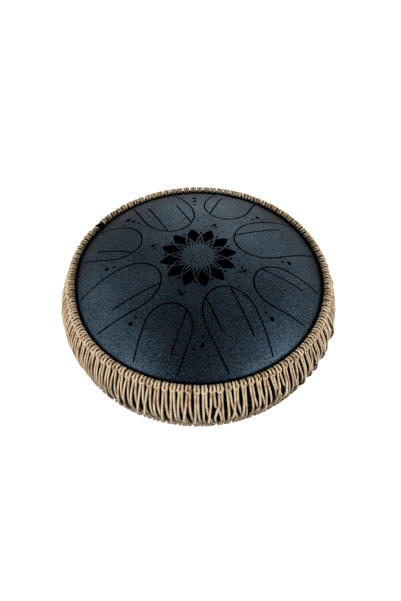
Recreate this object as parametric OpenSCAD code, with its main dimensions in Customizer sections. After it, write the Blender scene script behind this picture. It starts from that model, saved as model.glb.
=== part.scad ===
// Steel tongue drum: two pressed domes welded at the rim, standing on rubber feet,
// with a knotted cord net stretched over the seam between two cord rings.
// The origin is the centre of the base, on the surface that the feet stand on.
// +Z is up, and the drum is seen from -Y. All sizes are in millimetres and degrees.

/* [Shell] */
// Outside diameter of the shell at its seam
shell_d = 356; // [346:1:366]
// Outside radius of the crown of each dome
crown_r = 332; // [320:2:350]
// Distance from the axis to the crown's edge, where the haunch begins
crown_edge_r = 109.5; // [108:0.5:112]
// How much smaller than the shell's radius the outside radius of the haunch is
haunch_in = 40; // [28:1:48]
// Outside radius of the shoulder, where a dome turns down to the seam
shoulder_r = 50; // [46:1:54]
// Thickness of the steel sheet
sheet = 1.5; // [1:0.1:2]
// Height of the weld between the two rims
weld_h = 1.5; // [1:0.1:2]
// Height that the weld stands proud of the shell
weld_crown = 0.2; // [0.1:0.05:0.3]
// Diameter of the sound port in the lower dome
port_d = 76; // [60:1:100]
// Height of the lower dome's pole, in the port's middle, above the ground
pole_h = 6; // [5:0.5:10]

/* [Tongues] */
// Width of every slit
slit_w = 2.2; // [1.5:0.1:2.4]
// Distance from the shell's seam, seen from above, to the tongues' roots
root_in = 26.5; // [25:0.5:31]
// Distance from the drum's axis to the tip of a long tongue
long_tip_r = 54; // [53.5:0.5:58]
// Length of a long tongue's rounded nose
long_nose = 42; // [37:1:46]
// Half the width of a long tongue where its nose ends
long_half_w = 33.6; // [30:0.1:34.5]
// Half the width of a long tongue at its root
long_root_half_w = 29.8; // [28:0.1:33]
// Distance from a long tongue's middle line to its inner slit
long_split = 16.3; // [13:0.1:19]
// Distance from a long tongue's root to the end of its inner slit
long_split_stop = 26; // [20:0.5:32]
// Distance from the middle line to the second slit that two long tongues have
second_split = 18.2; // [15:0.1:20]
// Distance from a long tongue's root to the end of its second slit
second_split_stop = 43.5; // [38:0.5:50]
// Distance from the drum's axis to the tip of a short tongue
short_tip_r = 75.6; // [74:0.1:78]
// Distance that the tips of the two rear short tongues lie further out
rear_tip_shift = 4; // [0:0.5:5]
// Length of a short tongue's rounded nose
short_nose = 34.5; // [30:0.5:38]
// Half the width of a short tongue where its nose ends
short_half_w = 30.2; // [27:0.1:31]
// Half the width of a short tongue at its root
short_root_half_w = 28.4; // [26:0.1:30]
// Distance from a short tongue's middle line to its inner slit
short_split = 14.4; // [11:0.1:16]
// Distance from a short tongue's root to the end of its inner slit
short_split_stop = 16.5; // [12:0.5:22]

/* [Rosette] */
// Length of a petal, from the drum's axis to its tip
petal_len = 52; // [50:0.1:52.5]
// Half the width of a petal
petal_half_w = 11.3; // [10.8:0.1:12]
// Width of the steel strips that draw the petals
petal_strip = 1.5; // [1.2:0.1:1.8]
// Width of the slots that draw the spikes between the petals
spike_slot = 2.1; // [1.6:0.1:2.4]
// Radius of the plain disc in the middle
hub_r = 20; // [19:0.5:22]
// Distance from the axis to the hole outside each pair of petals
petal_dot_r = 41.4; // [41:0.1:42.5]
// Diameter of the hole outside each pair of petals
petal_dot_d = 3.9; // [2.5:0.1:4]

/* [Marks] */
// Distance from the axis to the large hole of a mark
mark_r = 122.9; // [121:0.1:124]
// Diameter of the large hole of a mark
mark_d = 5.6; // [4:0.1:6.5]
// Distance from the axis to the small hole of a mark
mark_small_r = 113.4; // [111:0.1:115]
// Diameter of the small hole of a mark
mark_small_d = 3.8; // [2.5:0.1:4.5]
// Distance that the marks at the rear and the two sides lie further in
mark_rear_shift = 5.6; // [5:0.1:6]
// Distance from the axis to the third hole that two marks have
mark_third_r = 128; // [127:0.1:131]
// Diameter of the third hole that two marks have
mark_third_d = 7.2; // [6:0.1:8]
// Distance from the axis to the large hole of a trefoil
trefoil_r = 61.7; // [61.4:0.1:64]
// Diameter of the large hole of a trefoil
trefoil_d = 5.2; // [4:0.1:5.4]
// Distance from the axis to the small holes of a trefoil
trefoil_small_r = 57.6; // [56.5:0.1:57.8]
// Diameter of the small holes of a trefoil
trefoil_small_d = 3.5; // [2.2:0.1:3.6]
// Distance between the small holes of a trefoil
trefoil_spread = 7.1; // [6.6:0.1:8]

/* [Magnets] */
// Diameter of a tuning magnet
magnet_d = 12; // [8:0.5:15]
// Thickness of a tuning magnet
magnet_h = 4; // [2:0.5:6]
// Gap between a magnet and the tongue that it hangs under
magnet_gap = 0.3; // [0.2:0.05:0.5]
// Distance from a tongue's tip to its magnet
magnet_from_tip = 22; // [16:1:30]
// Distance from a tongue's middle line to its magnet
magnet_side = 8; // [4:0.5:10]

/* [Feet] */
// Distance from the axis to the place where a foot meets the shell
foot_r = 85; // [70:1:100]
// Diameter of a foot against the shell
foot_top_d = 24; // [20:1:28]
// Diameter that a foot widens to at its sole
foot_sole_d = 28; // [24:1:32]
// Thickness of the rubber that the screw clamps
foot_seat = 8; // [6:0.5:9]
// Diameter of the hole for a foot's screw
foot_hole_d = 4.5; // [4.2:0.1:5]
// Diameter of the recess for the screw's head
foot_recess_d = 11; // [10:0.5:13]
// Diameter of the screw's shank
screw_d = 4; // [3.5:0.1:4.1]
// Diameter of the screw's head
screw_head_d = 8; // [7:0.5:9]
// Height of the screw's head
screw_head_h = 2.6; // [2:0.1:3]
// Length of each slot of the cross in a screw's head
drive_len = 4.6; // [4:0.1:5]
// Width of each slot of the cross in a screw's head
drive_w = 1; // [0.8:0.1:1.2]
// Depth of the cross in a screw's head
drive_h = 1.4; // [1:0.1:1.6]
// Length of screw that shows past the nut
screw_tail = 1.5; // [1:0.5:3]
// Diameter of a washer
washer_d = 9; // [8:0.5:10]
// Thickness of a washer
washer_h = 0.8; // [0.5:0.1:1]
// Width of a nut across its flats
nut_w = 7; // [6.5:0.5:8]
// Height of a nut
nut_h = 3.2; // [2.5:0.1:4]

/* [Cord net] */
// Diameter of the net's cord
cord_d = 2.6; // [2.2:0.1:2.8]
// Diameter of the cord that the top ring is made of
top_cord_d = 2.4; // [1.6:0.1:2.6]
// Diameter of the cord that the bottom ring is made of
bottom_cord_d = 3.6; // [3:0.1:4]
// Distance between two neighbouring knots on the top ring
knot_pitch = 9.33; // [9.2:0.01:10]
// Gap between the net and the shell
net_gap = 0.4; // [0.4:0.05:0.6]
// Gap between a cord and the cord that it is wound round
wrap_gap = 0.15; // [0.1:0.05:0.2]
// Gap between two strands where one crosses over the other
cross_gap = 0.3; // [0.2:0.05:0.4]
// Diameter of the cord of the dark tie on the top ring
tie_d = 2.2; // [1.8:0.1:2.3]
// Diameter of the thicker wound end beside the tie
end_d = 2.6; // [2.2:0.1:2.6]
// Gap between the turns of the tie and of the wound end
turn_gap = 0.5; // [0.45:0.05:0.6]

/* [Hidden] */

// How round the curves are drawn
shell_steps = 180;
hole_steps = 32;
cord_steps = 16;
turn_steps = 48;
nose_steps = 24;
side_steps = 5;
cap_steps = 4;

// One overrun serves every cut
over = 1;

// The shell's section: a crown arc runs into a haunch arc, and that into a shoulder arc.
// The centres of the crown and of the haunch lie below the seam by crown_c and haunch_c.
haunch_r = shell_d / 2 - haunch_in;
crown_edge = asin(crown_edge_r / crown_r);
shoulder_x = shell_d / 2 - shoulder_r;
haunch_x = (crown_r - haunch_r) * sin(crown_edge);
haunch_edge = asin((shoulder_x - haunch_x) / (haunch_r - shoulder_r));
haunch_c = (haunch_r - shoulder_r) * cos(haunch_edge);
crown_c = haunch_c + (crown_r - haunch_r) * cos(crown_edge);
dome_h = crown_r - crown_c;
seam_z = pole_h + dome_h;

// Tongues stand at even steps round the drum, long and short in turn
tongue_n = 8;
tongue_step = 360 / tongue_n;
root_r = shell_d / 2 - root_in;

// The rosette has a petal on the middle line of every second tongue
petal_n = 12;
petal_step = 360 / petal_n;
petal_turn = petal_step / 4;
petal_arc_r = (pow(petal_len / 2, 2) + pow(petal_half_w, 2)) / (2 * petal_half_w);

// Feet lie square to the lower dome, so their screws pass straight through the sheet
foot_n = 4;
foot_step = 360 / foot_n;
foot_tilt = asin(foot_r / crown_r);
foot_clear = 0.1;
nut_bore_clear = 0.05;

// Tongues and marks are counted from +X to the left, so the rear ones come first
function rear_tongue(i) = i < tongue_n / 2;
function rear_or_side_mark(i) = i <= tongue_n / 2;
function has_second_split(i) = i % 4 == 2;
function has_third_hole(i) = i == 2 || i == 3;
function tip_r(i) = i % 2 == 0 ? long_tip_r : short_tip_r + (rear_tongue(i) ? rear_tip_shift : 0);

// A tongue's magnet is turned a little off its middle line
function magnet_r(i) = tip_r(i) + magnet_from_tip;
function magnet_turn(i) = (i + 0.5) * tongue_step - asin(magnet_side / magnet_r(i));
magnet_top = sqrt(pow(crown_r - sheet - magnet_gap, 2) - pow(magnet_d / 2, 2));

// The net is drawn round the shoulder's centre, with distances from there, and its rings
// lie where the shoulder begins
strand_r = shoulder_r + net_gap + cord_d / 2;
top_wrap_r = top_cord_d / 2 + wrap_gap + cord_d / 2;
bottom_wrap_r = bottom_cord_d / 2 + wrap_gap + cord_d / 2;
top_ring_dist = strand_r + top_wrap_r;
bottom_ring_dist = strand_r + bottom_wrap_r;
ring_angle = 90 - haunch_edge;
top_ring_r = shoulder_x + top_ring_dist * cos(ring_angle);
bottom_ring_r = shoulder_x + bottom_ring_dist * cos(ring_angle);
knot_n = 4 * round(360 * top_ring_r / (knot_pitch * 4) * PI / 180);
knot_step = 360 / knot_n;

// Strands leave a knot in pairs, and two in three cross a strand of the next knot
leg_share = 0.2;
skew_share = 0.35;
cross_every = 3;
strand_half = ring_angle - asin(2 * cross_gap / strand_r);
strand_end_r = shoulder_x + strand_r * cos(strand_half);
strand_end_z = strand_r * sin(strand_half);
lift = cord_d + cross_gap;
lift_rise = strand_r * (1 - cos(strand_half)) + lift;
lift_r = (pow(strand_end_z, 2) + pow(lift_rise, 2)) / (2 * lift_rise);
lift_half = asin(strand_end_z / lift_r);

// A knot's front bar lies over its two legs, just below the ring
wrap_open = 65;
bar_gap = 2 * wrap_gap + 0.25 * cross_gap;
bar_dist = strand_r + cord_d + bar_gap;
bar_drop = top_wrap_r + cord_d + wrap_gap;
bar_angle = ring_angle - 2 * asin(bar_drop / (2 * top_ring_dist));
bar_len = 2 * leg_share * knot_pitch + cord_d;
bar_chamfer = cord_d / 4;

// The tie takes the place of the knot at this angle, and the wound end that of the next
tie_turn = 141.5;
tie_place = round(tie_turn / knot_step);
end_place = tie_place + 1;
wound_turns = 2;
wound_sides = 6;
wound_steps = 24;
tie_wind_r = top_cord_d / 2 + 2 * wrap_gap + tie_d / 2;
end_wind_r = top_cord_d / 2 + 2 * wrap_gap + end_d / 2;

// Strands under the tie and the wound end stop short of them
wound_reach = end_wind_r + end_d / 2 + cross_gap;
function wound(k) = k == tie_place || k == end_place;
function arc_angle(length, r) = length / r * 180 / PI;

function crossed(k) = (k + knot_n) % knot_n % cross_every < cross_every - 1;

// Flat outlines

// Points from one root round a tongue's nose to the other root: u outward, v across
function tongue_path(tip, nose, half_w, root_half_w) = let (
    nose_u = tip + nose,
    side = [for (i = [side_steps:-1:1]) let (t = i / side_steps)
        [nose_u + t * (root_r - nose_u), half_w - (half_w - root_half_w) * t * t]],
    round = [for (i = [0:nose_steps]) let (a = 90 - 180 * i / nose_steps)
        [nose_u - nose * cos(a), half_w * sin(a)]],
    back = [for (i = [side_steps - 1:-1:0]) [side[i][0], -side[i][1]]]
) concat(side, round, back);

function heading(p, i) = let (
    a = p[max(i - 1, 0)],
    b = p[min(i + 1, len(p) - 1)]
) atan2(b[1] - a[1], b[0] - a[0]);

// A ribbon of width w along the points p, with rounded ends
function ribbon(p, w) = let (
    last = len(p) - 1,
    left = [for (i = [0:last]) p[i] + w / 2 * [-sin(heading(p, i)), cos(heading(p, i))]],
    right = [for (i = [last:-1:0]) p[i] + w / 2 * [sin(heading(p, i)), -cos(heading(p, i))]],
    end = [for (i = [1:cap_steps - 1]) let (a = heading(p, last) + 90 - 180 * i / cap_steps)
        p[last] + w / 2 * [cos(a), sin(a)]],
    start = [for (i = [1:cap_steps - 1]) let (a = heading(p, 0) - 90 - 180 * i / cap_steps)
        p[0] + w / 2 * [cos(a), sin(a)]]
) concat(left, end, right, start);

// Distance along a tongue at which its nose has the half width v
function nose_at(tip, nose, half_w, v) = tip + nose * (1 - sqrt(1 - pow(v / half_w, 2)));

module tongue_slits(tip, nose, half_w, root_half_w) {
    polygon(ribbon(tongue_path(tip, nose, half_w, root_half_w), slit_w));
}

// A straight slit beside the middle line, from the tongue's outline towards its root
module split_slit(tip, nose, half_w, v, stop) {
    start = nose_at(tip, nose, half_w, abs(v));
    polygon(ribbon([[start, v], [(start + root_r - stop) / 2, v], [root_r - stop, v]], slit_w));
}

module long_tongue(i) {
    tongue_slits(long_tip_r, long_nose, long_half_w, long_root_half_w);
    split_slit(long_tip_r, long_nose, long_half_w, long_split, long_split_stop);
    if (has_second_split(i))
        split_slit(long_tip_r, long_nose, long_half_w, -second_split, second_split_stop);
}

module short_tongue(i) {
    tongue_slits(tip_r(i), short_nose, short_half_w, short_root_half_w);
    split_slit(tip_r(i), short_nose, short_half_w, short_split, short_split_stop);
}

// A petal's lens-shaped outline, drawn in by inset all round
module petal(inset = 0) {
    intersection_for (side = [-1, 1])
        translate([petal_len / 2, side * (petal_arc_r - petal_half_w)])
            circle(r = petal_arc_r - inset, $fn = shell_steps);
}

// The open tip of a petal, outside its neighbours
module petal_window() {
    difference() {
        petal(petal_strip);
        rotate(petal_step) petal();
        rotate(-petal_step) petal();
    }
}

// The V-shaped slot where two petals overlap, round a steel spike
module spike_window() {
    difference() {
        intersection() {
            rotate(-petal_step / 2) petal(petal_strip);
            rotate(petal_step / 2) petal(petal_strip);
        }
        intersection() {
            rotate(-petal_step / 2) petal(petal_strip + spike_slot);
            rotate(petal_step / 2) petal(petal_strip + spike_slot);
        }
        circle(r = hub_r, $fn = shell_steps);
    }
}

module hole_at(r, d, side = 0) {
    translate([r, side]) circle(d = d, $fn = hole_steps);
}

module mark(i) {
    shift = rear_or_side_mark(i) ? mark_rear_shift : 0;
    hole_at(mark_r - shift, mark_d);
    hole_at(mark_small_r - shift, mark_small_d);
    if (has_third_hole(i)) hole_at(mark_third_r, mark_third_d);
}

module trefoil() {
    hole_at(trefoil_r, trefoil_d);
    for (side = [-0.5, 0.5]) hole_at(trefoil_small_r, trefoil_small_d, side * trefoil_spread);
}

// Shell

// The part of a circle round [x, -c] between straight up and an angle to the right of that
module wedge(x, c, r, angle) {
    reach = 2 * r;
    translate([x, -c])
        intersection() {
            circle(r = r, $fn = shell_steps);
            polygon([[0, 0], [reach * sin(angle), reach * cos(angle)], [0, reach]]);
        }
}

// Half of a dome's section, drawn in by inset: two wedges and the shoulder's circle
module dome_section(inset = 0) {
    wedge(0, crown_c, crown_r - inset, crown_edge);
    wedge(haunch_x, haunch_c, haunch_r - inset, haunch_edge);
    translate([shoulder_x, 0]) circle(r = shoulder_r - inset, $fn = shell_steps);
}

// A plain dome that stands on the seam, open at its rim by half the weld
module dome() {
    rotate_extrude($fn = shell_steps)
        difference() {
            dome_section();
            dome_section(sheet);
            translate([0, weld_h / 2 - 2 * shell_d]) square(2 * shell_d);
        }
}

// Everything that is cut through the upper dome, seen from above
module drum_pattern() {
    for (i = [0:tongue_n - 1]) rotate((i + 0.5) * tongue_step) {
        if (i % 2 == 0) long_tongue(i);
        else short_tongue(i);
    }
    for (i = [0:tongue_n - 1]) rotate(i * tongue_step) mark(i);
    for (i = [1:2:tongue_n - 1]) rotate((i + 0.5) * tongue_step) trefoil();
    for (i = [0:petal_n - 1]) rotate(petal_turn + i * petal_step) {
        petal_window();
        rotate(petal_step / 2) {
            spike_window();
            hole_at(petal_dot_r, petal_dot_d);
        }
    }
}

module upper_shell() {
    color("darkslategray")
        translate([0, 0, seam_z])
            difference() {
                dome();
                linear_extrude(dome_h + over) drum_pattern();
            }
}

module lower_shell() {
    color("darkslategray")
        difference() {
            translate([0, 0, seam_z]) mirror([0, 0, 1]) dome();
            cylinder(h = seam_z, d = port_d, $fn = shell_steps);
            for (i = [1:foot_n]) at_foot(i)
                translate([0, 0, crown_r - sheet - over])
                    cylinder(h = sheet + 2 * over, d = foot_hole_d, $fn = hole_steps);
        }
}

module seam_weld() {
    rim = shell_d / 2;
    color("dimgray")
        translate([0, 0, seam_z])
            rotate_extrude($fn = shell_steps)
                polygon([
                    [rim - sheet, -weld_h / 2],
                    [rim, -weld_h / 2],
                    [rim + weld_crown, 0],
                    [rim, weld_h / 2],
                    [rim - sheet, weld_h / 2]
                ]);
}

// Magnets and feet

module magnet(i) {
    color("silver")
        translate([0, 0, seam_z - crown_c])
            rotate([0, 0, magnet_turn(i - 1)])
                rotate([0, asin(magnet_r(i - 1) / crown_r), 0])
                    translate([0, 0, magnet_top - magnet_h])
                        cylinder(h = magnet_h, d = magnet_d, $fn = hole_steps);
}

// Turns +Z to point out of the lower dome at a foot, with the crown's centre at zero
module at_foot(i) {
    translate([0, 0, seam_z + crown_c])
        rotate([0, 0, (i - 0.5) * foot_step])
            rotate([0, 180 - foot_tilt, 0])
                children();
}

module foot(i) {
    foot_len = 2 * (pole_h + foot_r);
    color("black")
        intersection() {
            at_foot(i)
                difference() {
                    translate([0, 0, crown_r + foot_clear]) union() {
                        cylinder(h = foot_seat, d1 = foot_top_d, d2 = foot_sole_d, $fn = hole_steps);
                        translate([0, 0, foot_seat])
                            cylinder(h = foot_len, d = foot_sole_d, $fn = hole_steps);
                    }
                    translate([0, 0, crown_r - over])
                        cylinder(h = foot_seat + 2 * over, d = foot_hole_d, $fn = hole_steps);
                    translate([0, 0, crown_r + foot_seat])
                        cylinder(h = 2 * foot_len, d = foot_recess_d, $fn = hole_steps);
                }
            translate([-shell_d, -shell_d, 0]) cube([2 * shell_d, 2 * shell_d, seam_z]);
        }
}

module foot_washers() {
    color("silver")
        for (i = [1:foot_n]) at_foot(i) {
            translate([0, 0, crown_r + foot_seat]) washer();
            translate([0, 0, crown_r - sheet - foot_clear - washer_h]) washer();
        }
}

module washer() {
    difference() {
        cylinder(h = washer_h, d = washer_d, $fn = hole_steps);
        translate([0, 0, -over]) cylinder(h = washer_h + 2 * over, d = foot_hole_d, $fn = hole_steps);
    }
}

module foot_screws() {
    head_z = crown_r + foot_seat + washer_h;
    tail_z = crown_r - sheet - foot_clear - washer_h - nut_h - screw_tail;
    color("silver")
        for (i = [1:foot_n]) at_foot(i)
            difference() {
                union() {
                    translate([0, 0, tail_z])
                        cylinder(h = head_z - tail_z, d = screw_d, $fn = hole_steps);
                    translate([0, 0, head_z])
                        cylinder(h = screw_head_h, d = screw_head_d, $fn = hole_steps);
                }
                for (turn = [0, 90])
                    translate([0, 0, head_z + screw_head_h - drive_h])
                        rotate(turn)
                            translate([-drive_len / 2, -drive_w / 2, 0])
                                cube([drive_len, drive_w, drive_h + over]);
            }
}

module foot_nuts() {
    nut_z = crown_r - sheet - foot_clear - washer_h - nut_h;
    color("silver")
        for (i = [1:foot_n]) at_foot(i)
            translate([0, 0, nut_z])
                difference() {
                    cylinder(h = nut_h, d = nut_w / cos(30), $fn = 6);
                    translate([0, 0, -over])
                        cylinder(h = nut_h + 2 * over, d = screw_d + 2 * nut_bore_clear, $fn = hole_steps);
                }
}

// Cord net

// Puts the shoulder's centre at zero, with +X outward, at an angle round the drum
module at_shoulder(turn) {
    rotate([0, 0, turn]) translate([shoulder_x, 0, seam_z]) children();
}

// A round cord on an upright arc of radius r, from angle a to angle b above level
module cord_arc(r, a, b) {
    rotate([90, 0, 0])
        rotate([0, 0, a])
            rotate_extrude(angle = b - a, $fn = turn_steps)
                translate([r, 0]) circle(d = cord_d, $fn = cord_steps);
}

module ring(r, z, d) {
    translate([0, 0, z])
        rotate_extrude($fn = shell_steps)
            translate([r, 0]) circle(d = d, $fn = cord_steps);
}

module top_ring_cord() {
    color("peru") ring(top_ring_r, seam_z + top_ring_dist * sin(ring_angle), top_cord_d);
}

module bottom_ring_cord() {
    color("peru") ring(bottom_ring_r, seam_z - bottom_ring_dist * sin(ring_angle), bottom_cord_d);
}

// The front bar of a knot, a short round piece with chamfered ends
module knot_bar() {
    rotate([90, 0, 0])
        rotate_extrude($fn = hole_steps)
            polygon([
                [0, -bar_len / 2],
                [cord_d / 2 - bar_chamfer, -bar_len / 2],
                [cord_d / 2, bar_chamfer - bar_len / 2],
                [cord_d / 2, bar_len / 2 - bar_chamfer],
                [cord_d / 2 - bar_chamfer, bar_len / 2],
                [0, bar_len / 2]
            ]);
}

// Each knot is a doubled cord hung over the top ring, with its legs drawn through
module top_knots() {
    color("burlywood")
        for (k = [0:knot_n - 1]) if (!wound(k)) {
            for (side = [-1, 1]) at_shoulder((k + side * leg_share) * knot_step)
                translate(top_ring_dist * [cos(ring_angle), 0, sin(ring_angle)])
                    cord_arc(top_wrap_r, ring_angle - wrap_open, ring_angle + 180);
            at_shoulder(k * knot_step)
                translate(bar_dist * [cos(bar_angle), 0, sin(bar_angle)])
                    knot_bar();
        }
}

module bottom_hitches() {
    color("burlywood")
        for (k = [0:knot_n - 1], side = [-1, 1])
            at_shoulder((k + side * leg_share + skew_share) * knot_step)
                translate(bottom_ring_dist * [cos(ring_angle), 0, -sin(ring_angle)])
                    cord_arc(bottom_wrap_r, -ring_angle - 180, wrap_open - ring_angle);
}

// A strand from the angle top on the top ring to the angle bottom on the bottom ring,
// which stops the length cut short of the top ring
module strand(top, bottom, lifted, cut) {
    side = strand_end_r * sin((top - bottom) / 2);
    at_shoulder((top + bottom) / 2)
        rotate([-asin(side / strand_end_z), 0, 0]) {
            if (lifted)
                translate([strand_r + lift - lift_r, 0, 0])
                    cord_arc(lift_r, -lift_half, lift_half - arc_angle(cut, lift_r));
            else
                cord_arc(strand_r, -strand_half, strand_half - arc_angle(cut, strand_r));
        }
}

// The leg on each side of a knot, which may cross a leg of the next knot
module net_strands() {
    color("tan")
        for (k = [0:knot_n - 1], side = [-1, 1]) {
            crosses = crossed(side > 0 ? k : k - 1);
            foot_share = crosses ? 1 - leg_share : leg_share;
            strand((k + side * leg_share) * knot_step,
                   (k + side * foot_share + skew_share) * knot_step,
                   crosses && side < 0,
                   wound(k) ? wound_reach : 0);
        }
}

// A cord wound round the top ring, as rings of points along a helix about +Y
function wound_point(t, r, pitch) = let (a = 360 * t) [r * cos(a), pitch * t, r * sin(a)];

function wound_ring(t, r, pitch, d) = let (
    p = wound_point(t, r, pitch),
    out = [cos(360 * t), 0, sin(360 * t)],
    along = [-2 * PI * r * sin(360 * t), pitch, 2 * PI * r * cos(360 * t)],
    across = cross(along / norm(along), out)
) [for (j = [0:wound_sides - 1]) let (b = 360 * j / wound_sides)
    p + d / 2 * (cos(b) * out + sin(b) * across)];

module winding(r, d) {
    pitch = d + turn_gap;
    last = wound_turns * wound_steps;
    points = [for (i = [0:last]) each
        wound_ring(i / wound_steps - wound_turns / 2, r, pitch, d)];
    s = wound_sides;
    sides = [for (i = [0:last - 1], j = [0:s - 1]) let (a = i * s + j, b = i * s + (j + 1) % s)
        each [[a, a + s, b], [b, a + s, b + s]]];
    start = [for (j = [1:s - 2]) [0, j, j + 1]];
    end = [for (j = [1:s - 2]) [last * s, last * s + j + 1, last * s + j]];
    gaps = [for (i = [0:last - wound_steps], k = [-1:1])
        norm(wound_point(i / wound_steps, r, pitch)
            - wound_point((i + wound_steps + k) / wound_steps, r, pitch)) - d];
    echo(least_gap_between_turns = min(gaps));
    polyhedron(points, concat(sides, start, end), convexity = 4);
}

module on_top_ring(place) {
    at_shoulder(place * knot_step)
        translate(top_ring_dist * [cos(ring_angle), 0, sin(ring_angle)])
            children();
}

module ring_tie() {
    color("black") on_top_ring(tie_place) winding(tie_wind_r, tie_d);
}

module ring_end_wrap() {
    color("wheat") on_top_ring(end_place) winding(end_wind_r, end_d);
}

upper_shell();
lower_shell();
seam_weld();
for (i = [1:tongue_n]) magnet(i);
for (i = [1:foot_n]) foot(i);
foot_screws();
foot_washers();
foot_nuts();
top_ring_cord();
top_knots();
net_strands();
bottom_ring_cord();
bottom_hitches();
ring_tie();
ring_end_wrap();
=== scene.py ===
import math
import random

import bpy
import numpy as np
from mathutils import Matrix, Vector


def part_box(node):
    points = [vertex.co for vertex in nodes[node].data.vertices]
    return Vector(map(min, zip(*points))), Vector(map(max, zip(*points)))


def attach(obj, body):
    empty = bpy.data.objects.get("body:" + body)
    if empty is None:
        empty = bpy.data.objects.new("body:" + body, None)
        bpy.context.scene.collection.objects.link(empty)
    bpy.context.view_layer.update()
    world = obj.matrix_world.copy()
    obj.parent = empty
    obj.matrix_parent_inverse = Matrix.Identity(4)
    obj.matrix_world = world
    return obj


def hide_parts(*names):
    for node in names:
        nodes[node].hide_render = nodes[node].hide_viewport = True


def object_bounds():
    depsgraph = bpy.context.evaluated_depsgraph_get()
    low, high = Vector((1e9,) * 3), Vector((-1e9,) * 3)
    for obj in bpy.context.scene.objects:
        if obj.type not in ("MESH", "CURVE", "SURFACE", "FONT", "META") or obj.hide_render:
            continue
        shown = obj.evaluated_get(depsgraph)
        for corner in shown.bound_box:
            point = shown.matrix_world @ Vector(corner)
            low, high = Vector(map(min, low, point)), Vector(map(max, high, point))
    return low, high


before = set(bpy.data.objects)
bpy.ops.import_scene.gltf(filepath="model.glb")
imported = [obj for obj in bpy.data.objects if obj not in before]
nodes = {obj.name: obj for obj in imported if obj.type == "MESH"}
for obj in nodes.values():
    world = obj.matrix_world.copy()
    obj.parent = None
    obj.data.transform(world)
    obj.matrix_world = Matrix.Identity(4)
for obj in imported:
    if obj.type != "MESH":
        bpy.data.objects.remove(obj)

cad_low, cad_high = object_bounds()
MM = 0.001
FULL_TURN = 2 * math.pi

# Sizes repeated from the drum's solids
SHELL_R = 178 * MM
SHOULDER_R = 50 * MM
KNOTS = 112
TIE_PLACE = 44
END_PLACE = 45

# Cord radii, a little fuller than the solids' as twisted cord looks
CORD_R = 1.84 * MM
KNOT_CORD_R = 1.95 * MM
DRAW_CORD_R = 2.1 * MM
CARRIER_R = 2.5 * MM
THREAD_R = 1.5 * MM
TIE_R = 1.15 * MM
END_R = 1.35 * MM

# Every cord's section has three plies, and its mesh rows and its lay have these lengths
PLIES = 3
POINTS_PER_PLY = 3
VALLEY = 0.68
CORD_STEP = 1.1 * MM
CORD_LAY = 13 * MM
RING_STEP = 1.6 * MM
RING_POINTS = 720

# The rings: how far out or in they lie from the solids' centre lines
RING_LIFT = 0.8 * MM
CARRIER_IN = 1.7 * MM
THREAD_PRESSED = 0.45 * MM
THREAD_CLEAR = 0.1 * MM
SECOND_DRAW_IN = 1.6 * MM
SECOND_DRAW_DOWN = DRAW_CORD_R + 2 * CORD_R + 2.4 * MM
WIND_CLEAR = 0.2 * MM

# The net's top edge is pulled up the shell round this angle, in degrees
DRIFT = 3.6 * MM
DRIFT_AT = 183
DRIFT_WIDTH = 19

# Strands. Places along one run from 0 under its knot to 1 at the bottom ring, sideways shifts are in
# knot pitches
STRAND_CLEAR = 0.4 * MM
STRAND_STEPS = 13
KNOT_DROP = 5.8 * MM
STRAND_STOP = 1.5 * MM
LEG = 0.165
FOOT = 0.2
CROSSED_FEET = (0.55, 0.65, 0.75, 1 - FOOT)
MEETING = 0.68
OPENING = 0.18
LEAN = 0.35
LEAN_POWER = 1.7
WANDER = 0.12
BOW = 0.7 * MM
START_LIFT = 2.2 * MM
START_LIFT_END = 0.09
CROSS_LIFT = 1.65 * CORD_R
CROSS_WIDTH = 0.17

# Where the net looks different round the drum: the middle and the width, in degrees
DENSE = (224, 30)
MEET_EARLY = (290, 34)
LEAN_LEFT = (226, 28)
LEAN_RIGHT = (305, 25)
FLAT = (180, 24)
LOOSE = (300, 32)
THIN = (302, 30)

# Loose ends of the strands under the tie and the wound end
LOOSE_DROP = 1.0 * MM
LOOSE_STEPS = 14

# A hitch round the bottom ring: side in mm, then out from the shell and up along it, in wraps
HITCH = ((0, -1, 0.0), (-0.8, -0.7, -0.7), (-2.0, 0, -1), (-3.3, 0.72, -0.7), (-4.0, 1, 0.0),
         (-3.2, 0.74, 0.74), (-1.2, 0.15, 1.05), (1.4, -0.25, 1.3))

# The tie's free end: side in mm, then out and up in winding radii
TAIL = ((-2.0, 0.0, 1.0), (0.5, 0.8, 1.2), (3.5, 1.2, 1.2), (6.5, 1.5, 0.9))


def ring_of(node):
    """A ring's centre line as (radius, height), and its cord's diameter."""
    low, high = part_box(node)
    thick = high.z - low.z
    return high.x - thick / 2, (low.z + high.z) / 2, thick


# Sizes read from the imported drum
top_r, top_z, top_cord_d = ring_of("top_ring_cord")
bottom_r, bottom_z, _ = ring_of("bottom_ring_cord")
weld_low, weld_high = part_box("seam_weld")
seam_z = (weld_low.z + weld_high.z) / 2
apex_z = cad_high.z
shoulder_c = SHELL_R - SHOULDER_R
knot_turn = FULL_TURN / KNOTS
pitch = top_r * knot_turn

# The net's places round the shoulder: a reach from the shoulder's centre and an angle above it
top_climb = math.atan2(top_z - seam_z, top_r - shoulder_c)
top_reach = math.hypot(top_z - seam_z, top_r - shoulder_c) + RING_LIFT
top_r = shoulder_c + top_reach * math.cos(top_climb)
top_z = seam_z + top_reach * math.sin(top_climb)
bottom_climb = math.atan2(bottom_z - seam_z, bottom_r - shoulder_c)
strand_reach = SHOULDER_R + STRAND_CLEAR + CORD_R


# Cords


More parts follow.
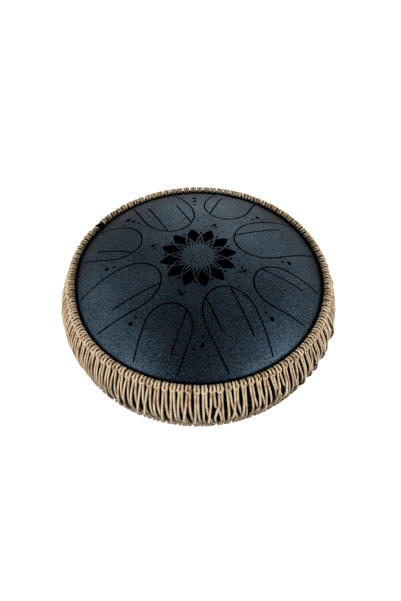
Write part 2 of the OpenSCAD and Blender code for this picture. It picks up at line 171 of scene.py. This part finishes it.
class Cords:
    """Gathers twisted cords, each a lobed section swept along a path, into one mesh."""

    def __init__(self, radius, valley=VALLEY, lay=CORD_LAY, step=CORD_STEP):
        self.radius, self.lay, self.step = radius, lay, step
        self.shape = np.array(([valley] + [1.0] * (POINTS_PER_PLY - 1)) * PLIES)
        self.points, self.quads, self.caps, self.along, self.groove = [], [], [], [], []
        self.count = 0

    def add(self, path, closed=False, start_turn=0.0, swell=None):
        """Sweeps the section along a path. swell gives the thickness at each share of the length."""
        path = resample(np.asarray(path, float), self.step, closed)
        n, m = len(path), len(self.shape)
        tangent, normal, length = carry_normals(path, closed)
        side = np.cross(tangent, normal)
        turns = length[-1] / self.lay
        if closed:
            whole = length[-1] + np.linalg.norm(path[0] - path[-1])
            turns = round(whole / self.lay) * length[-1] / whole
        twist = start_turn + FULL_TURN * turns * length / length[-1]
        size = self.radius * (np.ones(n) if swell is None else swell(length / length[-1]))
        angle = twist[:, None] + FULL_TURN * np.arange(m)[None, :] / m
        reach = size[:, None] * self.shape[None, :]
        ring = (path[:, None, :]
                + reach[..., None] * (np.cos(angle)[..., None] * normal[:, None, :]
                                      + np.sin(angle)[..., None] * side[:, None, :]))
        base = self.count
        rows = np.arange(n if closed else n - 1)
        cols = np.arange(m)
        next_rows, next_cols = (rows + 1) % n, (cols + 1) % m

        def corner(row, col):
            return base + row[:, None] * m + col[None, :]

        self.quads.append(np.stack([corner(rows, cols), corner(rows, next_cols),
                                    corner(next_rows, next_cols), corner(next_rows, cols)],
                                   -1).reshape(-1, 4))
        if not closed:
            self.caps.append(list(base + cols[::-1]))
            self.caps.append(list(base + (n - 1) * m + cols))
        self.points.append(ring.reshape(-1, 3))
        self.along.append(np.repeat(length, m))
        self.groove.append(np.tile(1.0 - (self.shape - self.shape.min())
                                   / (self.shape.max() - self.shape.min()), n))
        self.count += n * m

    def build(self, name, material):
        """Makes the mesh, with the length along each cord and the depth in its grooves on its points."""
        mesh = bpy.data.meshes.new(name)
        points = np.concatenate(self.points)
        quads = np.concatenate(self.quads)
        loops = np.concatenate([quads.reshape(-1)] + [np.array(c) for c in self.caps])
        sizes = np.concatenate([np.full(len(quads), 4)] + [np.array([len(c)]) for c in self.caps])
        starts = np.concatenate([[0], np.cumsum(sizes)[:-1]])
        mesh.vertices.add(len(points))
        mesh.vertices.foreach_set("co", points.astype(np.float32).reshape(-1))
        mesh.loops.add(len(loops))
        mesh.loops.foreach_set("vertex_index", loops.astype(np.int32))
        mesh.polygons.add(len(sizes))
        mesh.polygons.foreach_set("loop_start", starts.astype(np.int32))
        mesh.update(calc_edges=True)
        mesh.polygons.foreach_set("use_smooth", np.ones(len(sizes), bool))
        for label, values in (("along", self.along), ("groove", self.groove)):
            layer = mesh.attributes.new(label, "FLOAT", "POINT")
            layer.data.foreach_set("value", np.concatenate(values).astype(np.float32))
        mesh.validate()
        return new_piece(name, mesh, material)


def new_piece(name, mesh, material):
    """A piece of the scene that rides on the drum."""
    piece = bpy.data.objects.new(name, mesh)
    bpy.context.scene.collection.objects.link(piece)
    mesh.materials.append(material)
    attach(piece, "root")
    return piece


def smooth_path(points, parts=8):
    """A Catmull-Rom curve through the points."""
    p = np.asarray(points, float)
    p = np.concatenate([2 * p[:1] - p[1:2], p, 2 * p[-1:] - p[-2:-1]])
    t = (np.arange(parts) / parts)[None, :, None]
    a, b, c, d = (p[i:len(p) - 3 + i, None, :] for i in range(4))
    curve = 0.5 * (2 * b + (c - a) * t + (2 * a - 5 * b + 4 * c - d) * t ** 2
                   + (3 * b - a - 3 * c + d) * t ** 3)
    return np.concatenate([curve.reshape(-1, 3), p[-2:-1]])


def resample(path, step, closed):
    """The same path with points at even distances."""
    if closed:
        path = np.concatenate([path, path[:1]])
    gaps = np.linalg.norm(np.diff(path, axis=0), axis=1)
    length = np.concatenate([[0], np.cumsum(gaps)])
    count = max(4, int(round(length[-1] / step)))
    places = np.linspace(0, length[-1], count + 1)
    out = np.stack([np.interp(places, length, path[:, i]) for i in range(3)], -1)
    return out[:-1] if closed else out


def carry_normals(path, closed):
    """Tangents, and normals carried along the path with the least turning, and the length so far."""
    if closed:
        tangent = np.roll(path, -1, 0) - np.roll(path, 1, 0)
    else:
        tangent = np.gradient(path, axis=0)
    tangent /= np.linalg.norm(tangent, axis=1)[:, None]
    normal = np.zeros_like(path)
    first = np.cross(tangent[0], (0.0, 0.0, 1.0))
    if np.linalg.norm(first) < 0.1:
        first = np.cross(tangent[0], (1.0, 0.0, 0.0))
    normal[0] = first / np.linalg.norm(first)
    for i in range(1, len(path)):
        v = normal[i - 1] - tangent[i] * np.dot(normal[i - 1], tangent[i])
        normal[i] = v / np.linalg.norm(v)
    length = np.concatenate([[0], np.cumsum(np.linalg.norm(np.diff(path, axis=0), axis=1))])
    return tangent, normal, length


# Routes of the net's cords


def around(turn, reach, climb):
    """A point at an angle round the drum, a distance from the shoulder's centre and an angle above it."""
    r = shoulder_c + reach * math.cos(climb)
    return (r * math.cos(turn), r * math.sin(turn), seam_z + reach * math.sin(climb))


def by_ring(turn, ring_r, ring_z, climb, side, out, up):
    """A point beside a ring: side along it, out from the shell and up along the shell."""
    r = ring_r + out * math.cos(climb) - up * math.sin(climb)
    z = ring_z + out * math.sin(climb) + up * math.cos(climb)
    a = turn + side / ring_r
    return (r * math.cos(a), r * math.sin(a), z)


def degrees_away(turn, middle):
    """The angle from a place round the drum, given in degrees, between -180 and 180."""
    return (math.degrees(turn) - middle + 180) % 360 - 180


def drift(turn):
    """How far the net's top edge has been pulled up the shell at an angle round the drum."""
    return DRIFT * math.exp(-(degrees_away(turn, DRIFT_AT) / DRIFT_WIDTH) ** 2)


def by_top(turn, side, out, up):
    """A point beside the top ring."""
    climb = top_climb + drift(turn) / top_reach
    ring_r = shoulder_c + top_reach * math.cos(climb)
    ring_z = seam_z + top_reach * math.sin(climb)
    return by_ring(turn, ring_r, ring_z, climb, side, out, up)


def by_bottom(turn, side, out, up):
    """A point beside the bottom ring."""
    return by_ring(turn, bottom_r, bottom_z, bottom_climb, side, out, up)


def crosses(k):
    """Whether the strands between knot k and the next cross, as in the solids."""
    return k % KNOTS % 3 < 2


def near(k, region):
    """How near knot k lies to the middle of a region round the drum, from 0 to 1."""
    middle, width = region
    return math.exp(-(degrees_away(k % KNOTS * knot_turn, middle) / width) ** 2)


class Gap:
    """How the two strands between knot k and the next run: where they meet, if they do."""

    def __init__(self, k, rng):
        dense = near(k + 0.5, DENSE)
        early = near(k + 0.5, MEET_EARLY)
        self.meets = None
        if crosses(k):
            self.meets = MEETING + 0.22 * dense - 0.2 * early + rng.uniform(-0.2, 0.16)
        self.open = OPENING + 0.07 * dense + rng.uniform(-0.03, 0.06) * (1 - dense)
        self.foot = rng.choice(CROSSED_FEET) + 0.1 * early


def gap_beside(gaps, k, side):
    """The gap on one side of knot k."""
    return gaps[(k if side > 0 else k - 1) % KNOTS]


def leg_side(side, gap, down, lean):
    """How far a strand lies from its knot's middle, in knot pitches, at a share of its way down."""
    if gap.meets is None:
        spread = np.interp(down, [0, 0.4, 0.8, 1], [LEG, gap.open, gap.open + 0.03, FOOT])
    else:
        spread = np.interp(down, [0, 0.25, gap.meets, min(gap.meets + 0.22, 0.98), 1],
                           [LEG, gap.open, 0.5, 0.9 * gap.foot, gap.foot])
    return side * spread + lean * down ** LEAN_POWER


def strand_points(k, side, gap, lean, start, steps, rng):
    """A strand's points from just under its knot to the bottom ring."""
    turn = k * knot_turn
    end = bottom_climb + STRAND_STOP / strand_reach
    wander = rng.uniform(-WANDER, WANDER) * (1 + 1.3 * near(k, LOOSE))
    flat = 1 - 0.6 * near(k, FLAT)
    bow = rng.uniform(0.0, BOW) * flat
    points = []
    for down in np.linspace(0, 1, steps):
        climb = start + (end - start) * down
        at = leg_side(side, gap, down, lean) + wander * math.sin(math.pi * down)
        lift = bow * math.sin(math.pi * down) + START_LIFT * math.exp(-down / START_LIFT_END)
        if gap.meets is not None and side < 0:
            lift += CROSS_LIFT * flat * math.exp(-((down - gap.meets) / CROSS_WIDTH) ** 2)
        points.append(around(turn + at * knot_turn, strand_reach + lift, climb))
    return points


def hitch_points(k, side, gap, lean):
    """A strand's end, round the bottom ring and up behind it."""
    wrap = DRAW_CORD_R + 0.9 * CORD_R
    foot = leg_side(side, gap, 1.0, lean) * pitch
    return [by_bottom(k * knot_turn, foot + shift * MM, out * wrap, up * wrap)
            for shift, out, up in HITCH]


def cord_path(k, gaps, rng):
    """One doubled cord: up a strand, round the top ring, across the front and back, and down."""
    turn = k * knot_turn + rng.uniform(-0.3, 0.3) * MM / top_r
    wrap = top_cord_d / 2 + 0.87 * KNOT_CORD_R
    lean = LEAN + 0.33 * near(k, LEAN_LEFT) + rng.uniform(-0.05, 0.05) + 0.2 * near(k, LEAN_RIGHT)
    loop = rng.uniform(1.75, 1.95) * MM
    bar_out = 0.85 * wrap + rng.uniform(-0.2, 0.3) * MM
    bar_up = -3.4 * MM + rng.uniform(-0.5, 0.4) * MM
    tilt = rng.uniform(-0.7, 0.7) * MM
    halves = []
    for side in (1, -1):
        gap = gap_beside(gaps, k, side)
        x = side * loop * rng.uniform(0.94, 1.1)
        slack = rng.uniform(-0.25, 0.55) * MM
        # From the bar across the front, up over the ring and down behind it: side, out and up
        knot = [
            (0.6 * x, bar_out, bar_up + 0.6 * side * tilt),
            (1.3 * x, bar_out - 0.2 * MM, bar_up + 0.7 * MM + side * tilt),
            (1.2 * x, 1.02 * wrap + 0.5 * slack, -0.1 * MM),
            (1.03 * x, 0.76 * wrap + slack, 0.76 * wrap + slack),
            (1.0 * x, 0.0, wrap + 0.1 * MM + 0.7 * slack),
            (1.1 * x, -0.72 * wrap, 0.72 * wrap),
            (1.2 * x, -wrap, 0.0),
            (0.85 * x, -0.75 * wrap, -3.2 * MM),
        ]
        half = [by_top(turn, *p) for p in knot]
        start = top_climb + (drift(turn) - KNOT_DROP) / strand_reach
        half += strand_points(k, side, gap, lean, start, STRAND_STEPS, rng)
        half += hitch_points(k, side, gap, lean)
        halves.append(half)
    return smooth_path(halves[0][::-1] + halves[1])


def loose_path(k, side, gaps, rng):
    """A strand under the tie or the wound end, which runs up behind the top ring."""
    gap = gap_beside(gaps, k, side)
    start = top_climb - LOOSE_DROP / strand_reach
    points = strand_points(k, side, gap, LEAN, start, LOOSE_STEPS, rng)
    return smooth_path(points + hitch_points(k, side, gap, LEAN))


def ring_path(beside, out=0.0, up=0.0):
    """A ring's centre line, or a line beside it. beside is by_top or by_bottom."""
    return np.array([beside(FULL_TURN * i / RING_POINTS, 0.0, out, up) for i in range(RING_POINTS)])


def wound_path(place, wind_r, rise, turns, steps=24):
    """A helix round the top ring."""
    points = []
    for i in range(int(turns * steps) + 1):
        t = i / steps
        a = FULL_TURN * t
        points.append(by_top(place * knot_turn, (t - turns / 2) * rise,
                             wind_r * math.cos(a), wind_r * math.sin(a)))
    return np.array(points)


def tie_tail(wind_r):
    """The tie's free end, which lies along the net to the tie's lower left."""
    return smooth_path([by_top(TIE_PLACE * knot_turn, side * MM, out * wind_r, up * wind_r)
                        for side, out, up in TAIL])


def knot_swell(t):
    """A cord's thickness along its length: fuller in its knot, at the knot's bar and in its hitches."""
    from_end = 0.5 - np.abs(t - 0.5)
    return (0.97 + (KNOT_CORD_R / CORD_R - 0.97) * np.exp(-((t - 0.5) / 0.1) ** 6)
            + 0.12 * np.exp(-((t - 0.5) / 0.02) ** 2)
            + 0.2 * np.exp(-(from_end / 0.07) ** 4))


# Materials

# Painted shade: the shell's colour is nearly black beyond this radius, where the black thread and the
# net's shade begin.
# The dark rim in the photograph lies this much to the right of the drum's middle
RIM_SHADE_START = 159.9 * MM
RIM_SHADE_END = 160.9 * MM
RIM_SHADE_SHIFT = 0.7 * MM

# Painted shade on the cords: they darken between these heights, towards the drawn-in lower edge, and
# between these shares of their surface's direction that point along the net
HEM_SHADE_HIGH = bottom_z + 36 * MM
HEM_SHADE_LOW = bottom_z - 1 * MM
SIDE_SHADE_START = 0.65
SIDE_SHADE_FULL = 0.98

# Noise scales of the paint's wrinkle, grain and clouds, and of the cord's patches, flecks and fibres
WRINKLE, GRAIN, CLOUD = 680, 1500, 16
PATCH, FLECK, FIBRE = 95, 900, 5200.0


class Tree:
    """A node tree with short ways to add nodes and join them."""

    def __init__(self, tree):
        self.tree = tree

    def join(self, value, socket):
        """Links a node's output to a socket, or sets the socket to a constant."""
        if isinstance(value, bpy.types.NodeSocket):
            self.tree.links.new(value, socket)
        elif isinstance(value, tuple) and len(value) == 3 and socket.type == "RGBA":
            socket.default_value = (*value, 1)
        else:
            socket.default_value = value

    def node(self, kind, values=None, **settings):
        """Adds a node with its settings and the values or links of its inputs."""
        n = self.tree.nodes.new(kind)
        for key, value in settings.items():
            setattr(n, key, value)
        for key, value in (values or {}).items():
            self.join(value, n.inputs[key])
        return n

    def maths(self, operation, a, b=0.5):
        """A Math node's result. An operation on one value takes no notice of b."""
        return self.node("ShaderNodeMath", {0: a, 1: b}, operation=operation).outputs[0]

    def add(self, a, b):
        return self.maths("ADD", a, b)

    def times(self, a, b):
        return self.maths("MULTIPLY", a, b)

    def weighted(self, *parts):
        """The sum of values, each times its weight."""
        total = self.times(*parts[0])
        for part in parts[1:]:
            total = self.add(total, self.times(*part))
        return total

    def scaled(self, value, low, high, to_low=0.0, to_high=1.0, kind="LINEAR"):
        """A value's place between low and high, as a number from to_low to to_high."""
        n = self.node("ShaderNodeMapRange", {"Value": value, "From Min": low, "From Max": high,
                                             "To Min": to_low, "To Max": to_high},
                      interpolation_type=kind)
        return n.outputs["Result"]

    def soft(self, value, low, high, top=1.0):
        """A smooth step from 0 to top."""
        return self.scaled(value, low, high, 0.0, top, kind="SMOOTHSTEP")

    def split(self, vector):
        """A vector's X, Y and Z."""
        return self.node("ShaderNodeSeparateXYZ", {"Vector": vector}).outputs

    def mix(self, fac, a, b):
        """Colour a where fac is 0, and b where it is 1."""
        n = self.node("ShaderNodeMix", data_type="RGBA")
        for socket, value in ((n.inputs[0], fac), (n.inputs[6], a), (n.inputs[7], b)):
            self.join(value, socket)
        return n.outputs[2]


class Shader(Tree):
    """A material's node tree, with the nodes that materials use."""

    def __init__(self, name):
        self.material = bpy.data.materials.new(name)
        self.material.use_nodes = True
        super().__init__(self.material.node_tree)
        self.main = self.tree.nodes["Principled BSDF"]

    def place(self):
        """The place on the drum, in metres."""
        return self.node("ShaderNodeTexCoord").outputs["Object"]

    def noise(self, scale, detail=3, rough=0.55, where=None):
        """Noise over the surface, about 0.5 on average."""
        n = self.node("ShaderNodeTexNoise",
                      {"Scale": scale, "Detail": detail, "Roughness": rough,
                       "Vector": where if where is not None else self.place()})
        return n.outputs["Fac"]

    def ramp(self, fac, *stops):
        """A colour for each value. A stop is a place and a colour."""
        n = self.node("ShaderNodeValToRGB", {"Fac": fac})
        ends = n.color_ramp.elements
        while len(ends) < len(stops):
            ends.new(0.5)
        for e, (at, colour) in zip(ends, stops):
            e.position = at
            e.color = (*colour, 1)
        return n.outputs["Color"]

    def bump(self, height, distance, strength):
        """A normal that makes the height look raised."""
        n = self.node("ShaderNodeBump", {"Height": height, "Distance": distance, "Strength": strength})
        return n.outputs["Normal"]

    def set(self, **values):
        """Sets or links the main shader's sockets, named with _ for each space."""
        for key, value in values.items():
            self.join(value, self.main.inputs[key.replace("_", " ")])


def times_colour(factor, colour):
    """A colour made darker or lighter."""
    return tuple(factor * c for c in colour)


def shell_paint(name, outward):
    """Dark slate paint with a fine wrinkle, and painted shade: nearly black under the net, in the slits
    and inside.

    outward is 1 for the upper shell, whose outside faces up, and -1 for the lower one."""
    s = Shader(name)
    where = s.place()
    xyz = s.split(where)
    flat = s.node("ShaderNodeCombineXYZ", {"X": s.maths("SUBTRACT", xyz["X"], RIM_SHADE_SHIFT), "Y": xyz["Y"]})
    radius = s.node("ShaderNodeVectorMath", {0: flat.outputs[0]}, operation="LENGTH").outputs["Value"]
    wrinkle = s.noise(WRINKLE, detail=4, rough=0.6, where=where)
    grain = s.noise(GRAIN, detail=2, rough=0.5, where=where)
    cloud = s.noise(CLOUD, detail=3, rough=0.5, where=where)
    tone = s.weighted((wrinkle, 0.6), (grain, 0.25), (cloud, 0.15))
    colour = s.ramp(tone, (0.40, (0.0008, 0.001, 0.0016)), (0.5, (0.0018, 0.0026, 0.004)),
                    (0.62, (0.016, 0.022, 0.029)))
    faces = s.split(s.node("ShaderNodeNewGeometry").outputs["True Normal"])["Z"]
    # Painted shade: the colour goes nearly black and the gloss fades beyond the rim radius, under the
    # net, and on faces turned from the outside: the slits' walls, the steep shoulder and the inside
    rim = s.scaled(radius, RIM_SHADE_START, RIM_SHADE_END)
    turned_away_shade = s.scaled(faces, outward * 0.42, outward * 0.3)
    dark = s.maths("MAXIMUM", rim, turned_away_shade)
    gloss = s.times(s.scaled(tone, 0.44, 0.58, 0.1, 1.1), s.scaled(dark, 0.0, 1.0, 1.0, 0.03))
    s.set(Base_Color=s.mix(dark, colour, (0.003, 0.003, 0.004)),
          Roughness=s.add(s.scaled(tone, 0.35, 0.65, 0.46, 0.34), s.times(dark, 0.4)),
          Metallic=0.0, IOR=1.5, Specular_IOR_Level=gloss, Specular_Tint=(0.47, 0.75, 1.0),
          Normal=s.bump(s.weighted((wrinkle, 1.0), (grain, 0.4)), 0.35 * MM, 0.75))
    return s.material


def weld_paint():
    """The same paint, pooled and glossier over the weld."""
    s = Shader("weld_paint")
    ripple = s.noise(260)
    s.set(Base_Color=s.ramp(ripple, (0.3, (0.004, 0.004, 0.005)), (0.7, (0.02, 0.021, 0.024))),
          Roughness=0.38, Normal=s.bump(ripple, 0.4 * MM, 0.8))
    return s.material


def cord_material(name, dark, mid, light, sheen=0.25):
    """Twisted cord, with fibres along each ply and small colour changes, and painted shade between its
    plies, towards its lower edge, where cords touch and on its sides.
    """
    s = Shader(name)
    along = s.node("ShaderNodeAttribute", attribute_name="along").outputs["Fac"]
    groove = s.node("ShaderNodeAttribute", attribute_name="groove").outputs["Fac"]
    where = s.place()
    patch = s.noise(PATCH, where=where)
    fibre = s.noise(FIBRE, detail=2, rough=0.7, where=where)
    fleck = s.noise(FLECK, rough=0.65, where=where)
    tone = s.weighted((patch, 0.45), (fleck, 0.4), (fibre, 0.15))
    colour = s.ramp(tone, (0.38, dark), (0.5, mid), (0.62, light))
    crease_shade = s.node("ShaderNodeAmbientOcclusion", {"Distance": 4 * MM}, samples=4).outputs["AO"]
    xyz = s.split(where)
    level = s.node("ShaderNodeCombineXYZ", {"X": xyz["X"], "Y": xyz["Y"]}).outputs[0]
    spoke = s.node("ShaderNodeVectorMath", {0: level}, operation="NORMALIZE").outputs["Vector"]
    faces = s.node("ShaderNodeNewGeometry").outputs["Normal"]
    cross = s.node("ShaderNodeVectorMath", {0: spoke, 1: faces},
                   operation="CROSS_PRODUCT").outputs["Vector"]
    sideways = s.maths("ABSOLUTE", s.split(cross)["Z"])
    # Painted shade: darker in the grooves between the plies, towards the lower edge, where cords touch
    # (ambient occlusion), and on the cords' sides, which face along the net
    for share, shade in ((s.scaled(groove, 0.1, 1.0, 0.0, 0.75), 0.3),
                         (s.scaled(xyz["Z"], HEM_SHADE_HIGH, HEM_SHADE_LOW, 0.0, 0.72), 0.3),
                         (s.scaled(crease_shade, 0.88, 0.34, 0.0, 0.97), 0.2),
                         (s.scaled(sideways, SIDE_SHADE_START, SIDE_SHADE_FULL, 0.0, 0.92), 0.2)):
        colour = s.mix(share, colour, times_colour(shade, dark))
    wave = s.maths("SINE", s.times(along, FULL_TURN / (1.1 * MM)))
    s.set(Base_Color=colour, Roughness=0.86, Specular_IOR_Level=sheen, Sheen_Weight=sheen,
          Sheen_Roughness=0.5, Normal=s.bump(s.weighted((fleck, 1.0), (wave, 0.12)), 0.5 * MM, 1.0))
    return s.material


def rubber():
    """Dull black rubber with a fine grain."""
    s = Shader("rubber")
    grain = s.noise(900)
    s.set(Base_Color=s.ramp(grain, (0.3, (0.012, 0.012, 0.012)), (0.7, (0.035, 0.034, 0.033))),
          Roughness=0.78, Normal=s.bump(grain, 0.2 * MM, 0.6))
    return s.material


def plated(name, dark, light, rough):
    """Plated metal with faint clouds and a fine tooth."""
    s = Shader(name)
    cloud = s.noise(300, detail=4)
    fine = s.noise(2600, detail=2)
    s.set(Base_Color=s.ramp(cloud, (0.3, dark), (0.7, light)), Metallic=1.0,
          Roughness=s.scaled(fine, 0.3, 0.7, rough - 0.06, rough + 0.08),
          Normal=s.bump(fine, 0.05 * MM, 0.4))
    return s.material


UPPER = shell_paint("shell_paint", 1)
LOWER = shell_paint("shell_paint_below", -1)
WELD = weld_paint()
CORD = cord_material("cord", (0.27, 0.15, 0.07), (0.95, 0.665, 0.39), (1.0, 0.92, 0.69))
# A darker copy of the cord, as painted shade, for the rings that lie in the net's shade
SHADED_CORD = cord_material("shaded_cord", (0.05, 0.028, 0.014), (0.13, 0.08, 0.045),
                            (0.22, 0.15, 0.09), sheen=0.1)
TIE = cord_material("tie_cord", (0.001, 0.001, 0.001), (0.004, 0.004, 0.004), (0.014, 0.013, 0.012),
                    sheen=0.02)
RUBBER = rubber()
ZINC = plated("zinc", (0.42, 0.42, 0.41), (0.66, 0.66, 0.64), 0.36)
NICKEL = plated("magnet_nickel", (0.55, 0.53, 0.49), (0.72, 0.70, 0.66), 0.2)


def dress(node, material, rounding=None):
    """Gives a solid its material and, if asked, a small rounding on its sharp edges."""
    mesh = nodes[node].data
    mesh.materials.clear()
    mesh.materials.append(material)
    if rounding is not None:
        bevel = nodes[node].modifiers.new("soften", "BEVEL")
        bevel.width = rounding
        bevel.segments = 2
        bevel.limit_method = "ANGLE"
        bevel.angle_limit = math.radians(40)


dress("upper_shell", UPPER)
dress("lower_shell", LOWER)
dress("seam_weld", WELD)
for i in range(1, 9):
    dress(f"magnet_{i}", NICKEL, 0.25 * MM)
for i in range(1, 5):
    dress(f"foot_{i}", RUBBER, 0.5 * MM)
for node in ("foot_screws", "foot_washers", "foot_nuts"):
    dress(node, ZINC, 0.12 * MM)

# The net and its rings

rng = random.Random(7)
gaps = [Gap(k, rng) for k in range(KNOTS)]
net = Cords(CORD_R)
for k in range(KNOTS):
    if k in (TIE_PLACE, END_PLACE):
        for path in [loose_path(k, side, gaps, rng) for side in (1, -1)]:
            net.add(path, start_turn=rng.uniform(0, FULL_TURN))
    else:
        thin = 1 - 0.12 * near(k, THIN)
        net.add(cord_path(k, gaps, rng), start_turn=rng.uniform(0, FULL_TURN),
                swell=lambda t: thin * knot_swell(t))
net_cords = net.build("net_cords", CORD)
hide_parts("top_knots", "net_strands", "bottom_hitches")

# The carrier ring is in the painted shade cord, so the gaps between the knots show dark
carrier = Cords(CARRIER_R, lay=8 * MM, step=RING_STEP)
carrier.add(ring_path(by_top, -CARRIER_IN), closed=True)
top_ring = carrier.build("top_ring", SHADED_CORD)
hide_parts("top_ring_cord")

draw = Cords(DRAW_CORD_R, lay=16 * MM, step=RING_STEP)
draw.add(ring_path(by_bottom), closed=True)
# A second ring under the first, in the painted shade cord, fills the gaps under the hitches with dark
draw.add(ring_path(by_bottom, -SECOND_DRAW_IN, -SECOND_DRAW_DOWN), closed=True)
bottom_ring = draw.build("bottom_ring", SHADED_CORD)
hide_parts("bottom_ring_cord")

# A black thread under the knots: a dark ring put in the band of shade between the net and the shell,
# which gives that band and closes the gaps under the knots
thread = Cords(THREAD_R, valley=0.9, lay=5 * MM, step=RING_STEP)
thread.add(ring_path(by_top, SHOULDER_R + THREAD_R - THREAD_PRESSED - top_reach,
                     top_cord_d / 2 + 2 * KNOT_CORD_R + THREAD_CLEAR), closed=True)
shade_thread_ring = thread.build("shade_thread_ring", TIE)

tie = Cords(TIE_R, lay=6 * MM, step=0.7 * MM)
tie_wind_r = top_cord_d / 2 + TIE_R + WIND_CLEAR
tie.add(wound_path(TIE_PLACE, tie_wind_r, rise=2.3 * MM, turns=3.0))
tie.add(tie_tail(tie_wind_r))
tie_wrap = tie.build("tie_wrap", TIE)
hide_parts("ring_tie")

end = Cords(END_R, lay=9 * MM, step=0.9 * MM)
end.add(wound_path(END_PLACE, top_cord_d / 2 + END_R + WIND_CLEAR, rise=2.9 * MM, turns=2.4))
end_wrap = end.build("end_wrap", CORD)
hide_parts("ring_end_wrap")

# Camera, fitted to the photograph's rim and pattern

PHOTO_W = 401
PHOTO_H = 601
SENSOR = 36
FOCAL_PX = 941.55
CENTRE_PX = (198.3, 276.5)
CAM_UP = math.radians(49.90)
CAM_TURN = math.radians(-2.49)
CAM_DISTANCE = 1224.8 * MM
AIM_Z = apex_z - 41.66 * MM

camera = bpy.data.objects.new("camera", bpy.data.cameras.new("camera"))
bpy.context.scene.collection.objects.link(camera)
bpy.context.scene.camera = camera
camera.data.sensor_width = SENSOR
camera.data.lens = FOCAL_PX / PHOTO_H * SENSOR
camera.data.shift_x = (PHOTO_W / 2 - CENTRE_PX[0]) / PHOTO_H
camera.data.shift_y = (CENTRE_PX[1] - PHOTO_H / 2) / PHOTO_H
to_camera = Vector((math.sin(CAM_TURN) * math.cos(CAM_UP), -math.cos(CAM_TURN) * math.cos(CAM_UP),
                    math.sin(CAM_UP)))
camera.location = Vector((0, 0, AIM_Z)) + CAM_DISTANCE * to_camera
camera.rotation_euler = (-to_camera).to_track_quat("-Z", "Y").to_euler()
camera.data.clip_start = 0.01
camera.data.clip_end = 100

# Floor

FLOOR_HALF = 40.0
FLOOR_SHADE_END = 95 * MM
FLOOR_WHITE_START = 125 * MM

floor_mesh = bpy.data.meshes.new("floor")
floor_mesh.from_pydata([(x * FLOOR_HALF, y * FLOOR_HALF, 0)
                        for x, y in ((-1, -1), (1, -1), (1, 1), (-1, 1))], [], [(0, 1, 2, 3)])
floor = bpy.data.objects.new("floor", floor_mesh)
bpy.context.scene.collection.objects.link(floor)


def floor_material():
    """White paper with a painted shadow, near black, under the drum: what the camera sees outside it is
    lifted to white.
    """
    s = Shader("floor")
    away = s.node("ShaderNodeVectorMath", {0: s.place()}, operation="LENGTH").outputs["Value"]
    open_floor = s.scaled(away, FLOOR_SHADE_END, FLOOR_WHITE_START)
    # Painted shadow: the floor's colour is near black under the drum and fades to its own grey by
    # FLOOR_WHITE_START
    s.set(Base_Color=s.mix(open_floor, (0.02, 0.02, 0.02), (0.36, 0.36, 0.36)), Roughness=0.95,
          Specular_IOR_Level=0.1)
    seen = s.times(s.node("ShaderNodeLightPath").outputs["Is Camera Ray"], open_floor)
    glow = s.node("ShaderNodeEmission", {"Color": (1, 1, 1), "Strength": s.times(seen, 0.93)})
    both = s.node("ShaderNodeAddShader", {0: s.main.outputs[0], 1: glow.outputs[0]})
    s.join(both.outputs[0], s.tree.nodes["Material Output"].inputs["Surface"])
    return s.material


floor_mesh.materials.append(floor_material())

# World and lamps

WALL_LIGHT = 2.0
WALL_POWER = 1.6
BACK_LIGHT = 2.1
BACK_LIGHT_FROM = (0.17, 0.93, 0.29)
SCREEN_LIGHT = 0.5
DIM_LIGHT = 0.02
GLOSS_TINT = (0.84, 0.94, 1.0)
LAMP_TARGET = Vector((0, 0, 0.09))
LAMP_SIZE = (0.8, 0.5)


def studio_world():
    """A dark studio with soft white walls at the sides and one behind; the camera sees plain white."""
    world = bpy.data.worlds.new("studio")
    bpy.context.scene.world = world
    world.use_nodes = True
    t = Tree(world.node_tree)
    where = t.node("ShaderNodeTexCoord").outputs["Generated"]
    xyz = t.split(where)
    # The walls are brightest straight to the sides, and weaker towards the back
    walls = t.maths("POWER", t.soft(t.maths("ABSOLUTE", xyz["X"]), 0.1, 0.95), WALL_POWER)
    walls = t.times(t.times(walls, WALL_LIGHT), t.maths("SUBTRACT", 1.0, t.soft(xyz["Y"], 0.2, 0.6, 0.6)))
    facing_back = t.node("ShaderNodeVectorMath", {0: where, 1: BACK_LIGHT_FROM},
                         operation="DOT_PRODUCT").outputs["Value"]
    back = t.soft(facing_back, 0.89, 0.985, BACK_LIGHT)
    screen = t.times(t.soft(xyz["Y"], 0.2, 0.7, SCREEN_LIGHT), t.soft(xyz["Z"], 0.05, 0.4))
    level = t.add(t.add(t.add(walls, back), screen), DIM_LIGHT)
    path = t.node("ShaderNodeLightPath").outputs
    background = t.tree.nodes["Background"].inputs
    t.join(t.maths("MAXIMUM", level, path["Is Camera Ray"]), background["Strength"])
    t.join(t.mix(path["Is Glossy Ray"], (1, 1, 1), GLOSS_TINT), background["Color"])


def area_light(name, place, power):
    """A soft lamp that is turned towards the drum."""
    data = bpy.data.lights.new(name, "AREA")
    data.shape = "RECTANGLE"
    data.size, data.size_y = LAMP_SIZE
    data.energy = power
    lamp = bpy.data.objects.new(name, data)
    bpy.context.scene.collection.objects.link(lamp)
    lamp.location = place
    lamp.rotation_euler = (LAMP_TARGET - Vector(place)).to_track_quat("-Z", "Y").to_euler()


studio_world()
area_light("front_left", (-1.8, -1.6, 0.6), 43)
area_light("front_right", (1.9, -1.5, 0.6), 36)

bpy.context.scene.view_settings.view_transform = "Standard"
